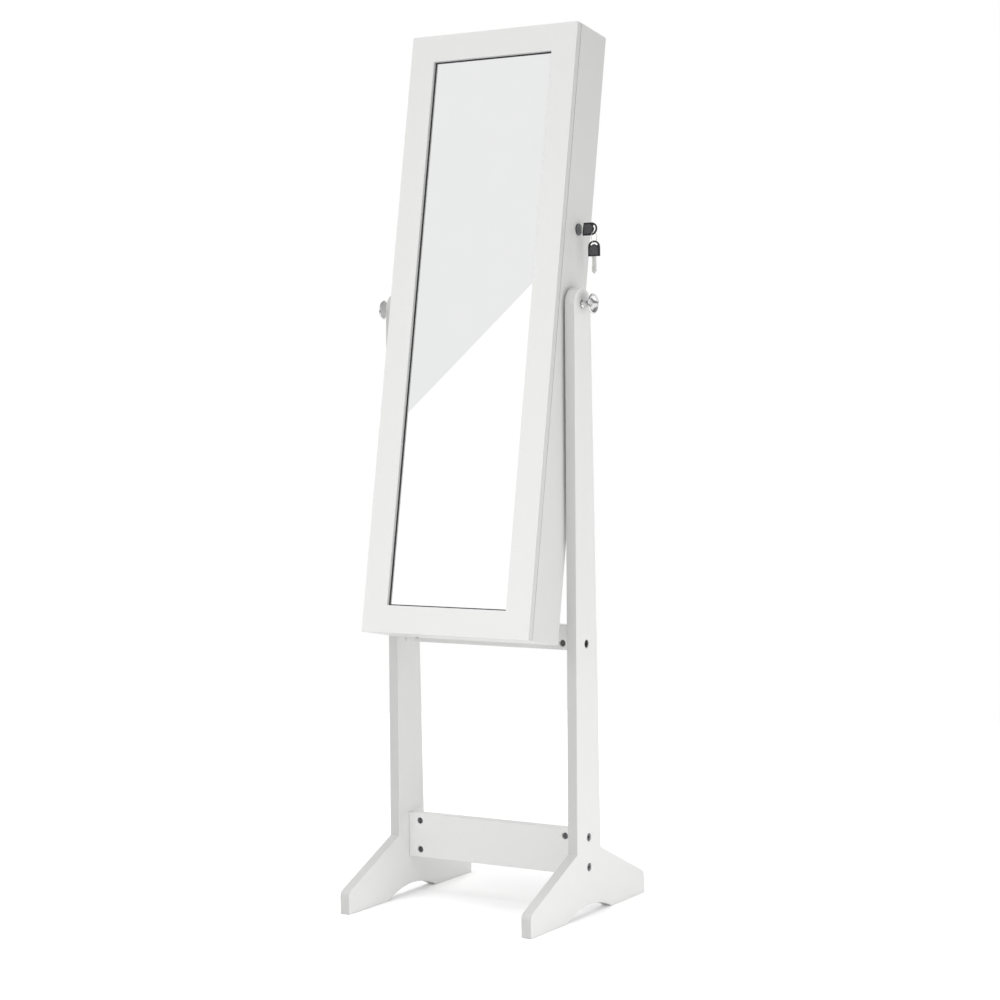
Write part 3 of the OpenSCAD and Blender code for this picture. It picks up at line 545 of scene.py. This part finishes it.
def key_grips(name, body, root, along, side):
    """The pebbled grip panels moulded a little proud of both faces of a key's head. Each is square
    at the blade's end and domed under the slot that the ring runs in."""
    start, shoulder, dome, half_width = 2.0 * MM, 10.0 * MM, 7.2 * MM, 7.7 * MM
    half_thickness, corner = 1.5 * MM, 1.6 * MM
    sunk, edge, proud, edge_slope = -0.2 * MM, 0.2 * MM, 0.38 * MM, 0.35 * MM
    shells = []
    for face in (-1, 1):
        normal = along.cross(side) * face
        rings = []
        for inset, height in ((0, sunk), (0, edge), (edge_slope, proud)):
            outline = grip_outline(shoulder, dome - inset, half_width - inset, start + inset, corner)
            middle = root + normal * (half_thickness + height)
            rings.append([middle + along * x + side * y for x, y in outline])
        shells.append(skin(rings))
    piece(name, *joined(shells), body, "black_plastic", FINISHES["black_grip"], smooth=False)


def lock_key_grips():
    """The grips of the key that stands in the lock."""
    low, high = cabinet_box("key_head")
    middle = (low + high) / 2
    root = in_cabinet(low.x, middle.y, middle.z)
    key_grips("key_grips", "key", root, ACROSS, UP)


def spare_key_grips():
    """The grips of the key that hangs on the ring."""
    low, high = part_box("spare_key_head")
    middle = (low + high) / 2
    root = Vector((middle.x, middle.y, low.z))
    key_grips("spare_key_grips", "spare_key", root, Vector((0, 0, 1)), ACROSS)


lock_key_grips()
spare_key_grips()

# --- Hooks ---


def hook_shell(root, out, rise):
    """One bent wire hook with a flange at its root and a ball on its tip."""
    wire, bend, reach, height, ball = 1.4 * MM, 4 * MM, 16 * MM, 11 * MM, 2.05 * MM
    set_in, straight_from, thinnest = 6 * MM, 0.5 * MM, 0.02 * MM
    bend_steps, ball_steps = 8, 12
    path = [root - out * set_in, root + out * straight_from, root + out * (reach - bend)]
    radii = [wire] * len(path)
    for i in range(1, bend_steps + 1):
        turn = math.pi / 2 * i / bend_steps
        path.append(root + out * (reach - bend + bend * math.sin(turn)) + rise * bend * (1 - math.cos(turn)))
        radii.append(wire)
    tip = root + out * reach + rise * (height - ball)
    for i in range(ball_steps + 1):
        turn = math.pi * (1 + 3 * i / ball_steps) / 4
        path.append(tip - rise * ball * math.cos(turn))
        radii.append(max(ball * math.sin(turn), thinnest))
    flange, flange_side, flange_slope, flange_top = 3.4 * MM, 0.5 * MM, 1.1 * MM, 1.3 * MM
    profile = [(ON_AXIS, 0), (flange, 0), (flange, flange_side), (2.6 * MM, flange_slope), (wire, flange_top)]
    return joined([swept(path, radii), turned(profile, root, out, sides=32)])


def hook_row(name, node, rail, out, body):
    """The wire hooks of a rail, as many as the CAD node holds and spaced as it has them."""
    ball, widest_pitch, rounding = 2.1 * MM, 28 * MM, 0.001
    low, high = cabinet_box(node)
    rail_low, rail_high = cabinet_box(rail)
    face = rail_low.y if out < 0 else rail_high.y
    middle = (rail_low.z + rail_high.z) / 2
    first, last = low.x + ball, high.x - ball
    count = math.ceil((last - first) / widest_pitch - rounding)
    roots = [in_cabinet(first + (last - first) * i / count, face, middle) for i in range(count + 1)]
    hooks = [hook_shell(root, BACK * out, UP) for root in roots]
    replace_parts(piece(name, *joined(hooks), body, "chrome"), node)


hook_row("necklace_hook_row", "necklace_hooks", "necklace_rail", -1, "cabinet")
hook_row("door_hook_row", "door_hooks", "door_hook_rail", 1, "door")

# --- The ring cushion ---


def cushion_roll(roll, low, high, pitch, half_length):
    """One velvet roll over foam: round in front and flat where it is glued to its backing, a little
    lumpy along its length, and drawn in and creased at its ends, where the velvet is tucked."""
    stations, sides = 64, 28
    radius = (high.y - low.y) / 2 - 0.6 * MM
    off_front, off_back, end = 0.4 * MM, 0.4 * MM, 7 * MM
    tucked, swell, lumpiness, crease_depth = 0.12, 0.85, 0.03, 0.35 * MM
    lumps_per_metre, creases_per_metre, creases_around = 38, 130, 1.5
    half_pitch = pitch / 2 * 1.02
    middle_up = low.z + pitch * (roll + 0.5)
    rings = []
    for i in range(stations + 1):
        across = -half_length * math.cos(math.pi * i / stations)
        inside = min(1, (half_length - abs(across)) / end)
        fullness = math.sqrt(max(0.0, 1 - (1 - inside) ** 2))
        lump = noise.noise(Vector((across * lumps_per_metre, roll * 7.3, 0))) * lumpiness
        thick = radius * (tucked + swell * fullness + lump * fullness)
        ring = []
        for j in range(sides):
            turn = math.tau * j / sides
            around = (math.cos(turn) * creases_around, roll + math.sin(turn))
            crease = noise.noise(Vector((across * creases_per_metre, *around))) * crease_depth
            out = thick + crease * (1 - fullness * 0.6)
            back = low.y + radius + off_front - out * math.cos(turn)
            up = middle_up + min(out, half_pitch) * math.sin(turn)
            ring.append(in_cabinet(across, min(back, high.y - off_back), up))
        rings.append(ring)
    return skin(rings)


def cushion_backing(low, high, half_length):
    """The padded backing of the rolls, with round corners and a soft front edge."""
    thickness, gap, front_edge = 5 * MM, 0.3 * MM, 1 * MM
    front_inset, inset, corner, steps = 1.5 * MM, 0.5 * MM, 3 * MM, 4
    front = high.y - thickness
    rings = []
    for back, margin in ((front, front_inset), (front + front_edge, inset), (high.y - gap, inset)):
        side = half_length - margin - corner
        bottom, top = low.z + margin + corner, high.z - margin - corner
        ring = []
        for quarter, (across, up) in enumerate(((side, top), (-side, top), (-side, bottom), (side, bottom))):
            turns = [math.pi / 2 * (quarter + k / steps) for k in range(steps + 1)]
            arc = [(across + corner * math.cos(t), up + corner * math.sin(t)) for t in turns]
            ring += [in_cabinet(x, back, z) for x, z in arc]
        rings.append(ring)
    return skin(rings)


def ring_cushion():
    """Seven rolls side by side, which hold rings between them, on one backing."""
    rolls, end_gap = 7, 0.5 * MM
    low, high = cabinet_box("ring_cushion")
    pitch = (high.z - low.z) / rolls
    half_length = (high.x - low.x) / 2 - end_gap
    shells = [cushion_roll(roll, low, high, pitch, half_length) for roll in range(rolls)]
    cushion = piece("ring_cushion_rolls", *joined(shells), "cabinet", "velvet")
    board = cushion_backing(low, high, half_length)
    backing = piece("ring_cushion_backing", *board, "cabinet", "velvet", smooth=False)
    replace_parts(cushion, "ring_cushion")


ring_cushion()

# --- The gathered pocket inside the door ---


def pouch_rows(low, high):
    """The pouch as rows of points from its bottom seam to its hem: pinned at the seams, fuller in
    the middle, with folds that wander a little and deepen towards the hem."""
    columns, rows, folds = 220, 60, 26
    side_seam, bottom_seam, hem_starts = 0.06, 0.12, 0.985
    least_belly, belly, least_fold, fold_growth, fullest = 0.34, 0.28, 0.16, 0.34, 0.97
    wander_across, wander_up, wander_turns = 9, 3, 1.1
    off_lining, kept_back, kept_down = 0.6 * MM, 0.93, 0.985
    width, depth, height = high.x - low.x, high.y - low.y, high.z - low.z
    grid = []
    for row in range(rows + 1):
        v = row / rows
        sag = math.sin(math.pi * min(1, (1 - v) * 1.15 + 0.02)) ** 0.7 if v < hem_starts else 0.0
        line = []
        for column in range(columns + 1):
            u = column / columns
            side = min(1, min(u, 1 - u) / side_seam)
            bottom = min(1, v / bottom_seam)
            free = side * side * (3 - 2 * side) * (bottom * (2 - bottom))
            wander = noise.noise(Vector((u * wander_across, v * wander_up, 0))) * wander_turns
            fold = 0.5 + 0.5 * math.sin(math.tau * folds * u + wander * 3)
            gather = least_fold + fold_growth * v**2
            body = least_belly + belly * sag * math.sin(math.pi * u) ** 0.5
            out = depth * free * min(fullest, body + gather * fold)
            back = low.y + off_lining + out * kept_back
            line.append(in_cabinet(low.x + width * u, back, low.z + height * v * kept_down))
        grid.append(line)
    return grid


def gathered_pocket():
    """Stretch knit sewn down at the sides and bottom, gathered into an elastic hem at the top. The
    folds are deepest at the hem and fade as the pouch fills out below."""
    low, high = cabinet_box("door_pocket")
    grid = pouch_rows(low, high)
    across = len(grid[0])
    faces = [
        tuple((row + up) * across + column + aside for up, aside in ((0, 0), (0, 1), (1, 1), (1, 0)))
        for row in range(len(grid) - 1)
        for column in range(across - 1)
    ]
    points = [point for line in grid for point in line]
    pouch = piece("gathered_pocket", points, faces, "door", "velvet", material=stretch_knit())
    thickness = pouch.modifiers.new("cloth thickness", "SOLIDIFY")
    thickness.thickness = 0.7 * MM
    thickness.offset = 0
    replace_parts(pouch, "door_pocket")
    elastic_radius, above_cloth = 1.1 * MM, 0.3 * MM
    hem_path = [point + UP * above_cloth for point in grid[-1]]
    tube = swept(hem_path, [elastic_radius] * len(hem_path), sides=12)
    hem = piece("pocket_hem", *tube, "door", "velvet")


gathered_pocket()

# --- Camera ---

CAMERA_AT = Vector((2.004, -3.222, 0.868))
FOCAL_LENGTH_MM = 83.8
YAW, PITCH, ROLL = (math.radians(angle) for angle in (31.61, -3.07, 0.82))
ahead = Vector((-math.sin(YAW) * math.cos(PITCH), math.cos(YAW) * math.cos(PITCH), math.sin(PITCH)))

camera_data = bpy.data.cameras.new("camera")
camera_data.lens = FOCAL_LENGTH_MM
camera = bpy.data.objects.new("camera", camera_data)
camera.location = CAMERA_AT
camera.rotation_mode = "QUATERNION"
camera.rotation_quaternion = ahead.to_track_quat("-Z", "Y")
camera.rotation_quaternion.rotate(Quaternion(ahead, ROLL))
bpy.context.scene.collection.objects.link(camera)
bpy.context.scene.camera = camera

# --- Studio ---


def ray_kinds(tree):
    """Two factors: 1 for what is seen directly or through glass, and 1 for what is reflected."""
    path = add(tree, "ShaderNodeLightPath", {})
    kinds = {0: path.outputs["Is Camera Ray"], 1: path.outputs["Is Transmission Ray"]}
    direct = add(tree, "ShaderNodeMath", kinds, operation="MAXIMUM")
    return direct.outputs["Value"], path.outputs["Is Glossy Ray"]


def studio_world():
    """White behind the armoire, an even soft fill as a light, and in reflections a white room
    with a dark ceiling and a dark floor beyond the paper, which give polished metal its edges."""
    fill, wall, ceiling, ground = 0.45, 1.04, 0.2, 0.3
    wall_ends, ceiling_starts, below_horizon = 0.5, 0.75, -0.02
    world = bpy.data.worlds.new("studio")
    bpy.context.scene.world = world
    world.use_nodes = True
    tree = world.node_tree
    direct, reflected = ray_kinds(tree)
    way = add(tree, "ShaderNodeTexCoord", {}).outputs["Generated"]
    height = add(tree, "ShaderNodeSeparateXYZ", {"Vector": way}).outputs["Z"]
    rising = {"From Min": wall_ends, "From Max": ceiling_starts, "To Min": wall, "To Max": ceiling}
    falling = {"From Min": below_horizon, "From Max": 0.0, "To Min": ground, "To Max": 1.0}
    above = add(tree, "ShaderNodeMapRange", {"Value": height, **rising}).outputs["Result"]
    below = add(tree, "ShaderNodeMapRange", {"Value": height, **falling}).outputs["Result"]
    both = add(tree, "ShaderNodeMath", {0: above, 1: below}, operation="MULTIPLY").outputs["Value"]
    unseen = add(tree, "ShaderNodeMix", {0: direct, 2: fill, 3: 1.0}).outputs[0]
    strength = add(tree, "ShaderNodeMix", {0: reflected, 2: unseen, 3: both}).outputs[0]
    connect(tree.nodes["Background"], {"Color": (1, 1, 1, 1), "Strength": strength})


def studio_floor():
    """A seamless floor of white paper. Where it is seen, a little white is added to it, so that only
    the shadows show."""
    radius, added_white, sides = 2.2, 0.22, 64
    turns = [math.tau * i / sides for i in range(sides)]
    rim = [(radius * math.cos(turn), radius * math.sin(turn), 0) for turn in turns]
    mesh = bpy.data.meshes.new("floor")
    mesh.from_pydata(rim, [], [tuple(range(sides))])
    floor = bpy.data.objects.new("floor", mesh)
    bpy.context.scene.collection.objects.link(floor)
    material, shader, place = new_material("white_paper_floor")
    tree = shader.id_data
    texture = add(tree, "ShaderNodeTexNoise", {"Vector": place, "Scale": per_metre(300)})
    finish(shader, texture.outputs["Fac"], ("#f2f2f2", "#f4f4f4"), (0.85, 0.95), Specular_IOR_Level=0.0)
    direct, reflected = ray_kinds(tree)
    seen = add(tree, "ShaderNodeMath", {0: direct, 1: reflected}, operation="MAXIMUM")
    glow = add(tree, "ShaderNodeMath", {0: seen.outputs["Value"], 1: added_white}, operation="MULTIPLY")
    connect(shader, {"Emission Color": (1, 1, 1, 1), "Emission Strength": glow.outputs["Value"]})
    mesh.materials.append(material)


def aim(obj, at, toward):
    """Puts a light or camera at a point, looking towards another."""
    obj.location = at
    obj.rotation_mode = "QUATERNION"
    obj.rotation_quaternion = (Vector(toward) - Vector(at)).to_track_quat("-Z", "Y")
    bpy.context.scene.collection.objects.link(obj)


def softbox(name, at, toward, width, height, watts):
    """A rectangular soft light close to the armoire."""
    data = bpy.data.lights.new(name, "AREA")
    data.shape = "RECTANGLE"
    data.size, data.size_y, data.energy = width, height, watts
    light = bpy.data.objects.new(name, data)
    aim(light, at, toward)
    light.visible_glossy = False


def skylight(name, at, strength, spread_degrees):
    """A soft light from far away, which lights near and far parts of the floor alike."""
    data = bpy.data.lights.new(name, "SUN")
    data.energy, data.angle = strength, math.radians(spread_degrees)
    light = bpy.data.objects.new(name, data)
    aim(light, at, (0, 0, 0))
    light.visible_glossy = False


def reflected_card():
    """A pale grey card in front of the armoire and above it. It is seen only in the mirror, where
    its lower edge runs slantwise across the glass, through two points (across, up)."""
    edge_points = ((-0.100, -0.173), (0.113, 0.032))
    distance, reach, tall = 2.6, 2.0, 3.0
    glass_front = cabinet_box("mirror_glass")[0].y
    eye_off_glass = (CAMERA_AT - in_cabinet(0, glass_front, 0)).dot(BACK)
    mirrored_eye = CAMERA_AT - BACK * 2 * eye_off_glass
    ends = []
    for across, up in edge_points:
        on_glass = in_cabinet(across, glass_front, up)
        ray = on_glass - mirrored_eye
        ends.append(on_glass - ray * (distance / ray.dot(BACK)))
    along = (ends[1] - ends[0]).normalized()
    upward = (UP - along * UP.dot(along)).normalized()
    low = [ends[0] - along * reach, ends[1] + along * reach]
    corners = low + [point + upward * tall for point in reversed(low)]
    mesh = bpy.data.meshes.new("studio_card")
    mesh.from_pydata([tuple(corner) for corner in corners], [], [(0, 1, 2, 3)])
    card = bpy.data.objects.new("studio_card", mesh)
    bpy.context.scene.collection.objects.link(card)
    material, shader, place = new_material("grey_card")
    texture = add(shader.id_data, "ShaderNodeTexNoise", {"Vector": place, "Scale": per_metre(900)})
    finish(shader, texture.outputs["Fac"], ("#000000", "#010101"), (0.9, 1.0), Specular_IOR_Level=0.0)
    connect(shader, {"Emission Color": linear("#ececec"), "Emission Strength": 1.0})
    mesh.materials.append(material)
    for ray in ("camera", "diffuse", "shadow", "transmission"):
        setattr(card, "visible_" + ray, False)


studio_world()
studio_floor()
reflected_card()
skylight("overhead_light", at=(-0.15, -0.4, 2.4), strength=1.4, spread_degrees=40)
softbox("front_softbox", at=(-0.3, -2.4, 1.5), toward=(0, 0, 1.1), width=1.4, height=1.0, watts=12)
softbox("back_softbox", at=(-0.5, 2.4, 1.4), toward=(0, 0, 0.8), width=1.4, height=1.0, watts=10)
softbox("right_softbox", at=(1.6, -0.2, 0.7), toward=(0, 0, 0.7), width=1.2, height=1.0, watts=7)

view_settings = bpy.context.scene.view_settings
view_settings.view_transform = "Standard"
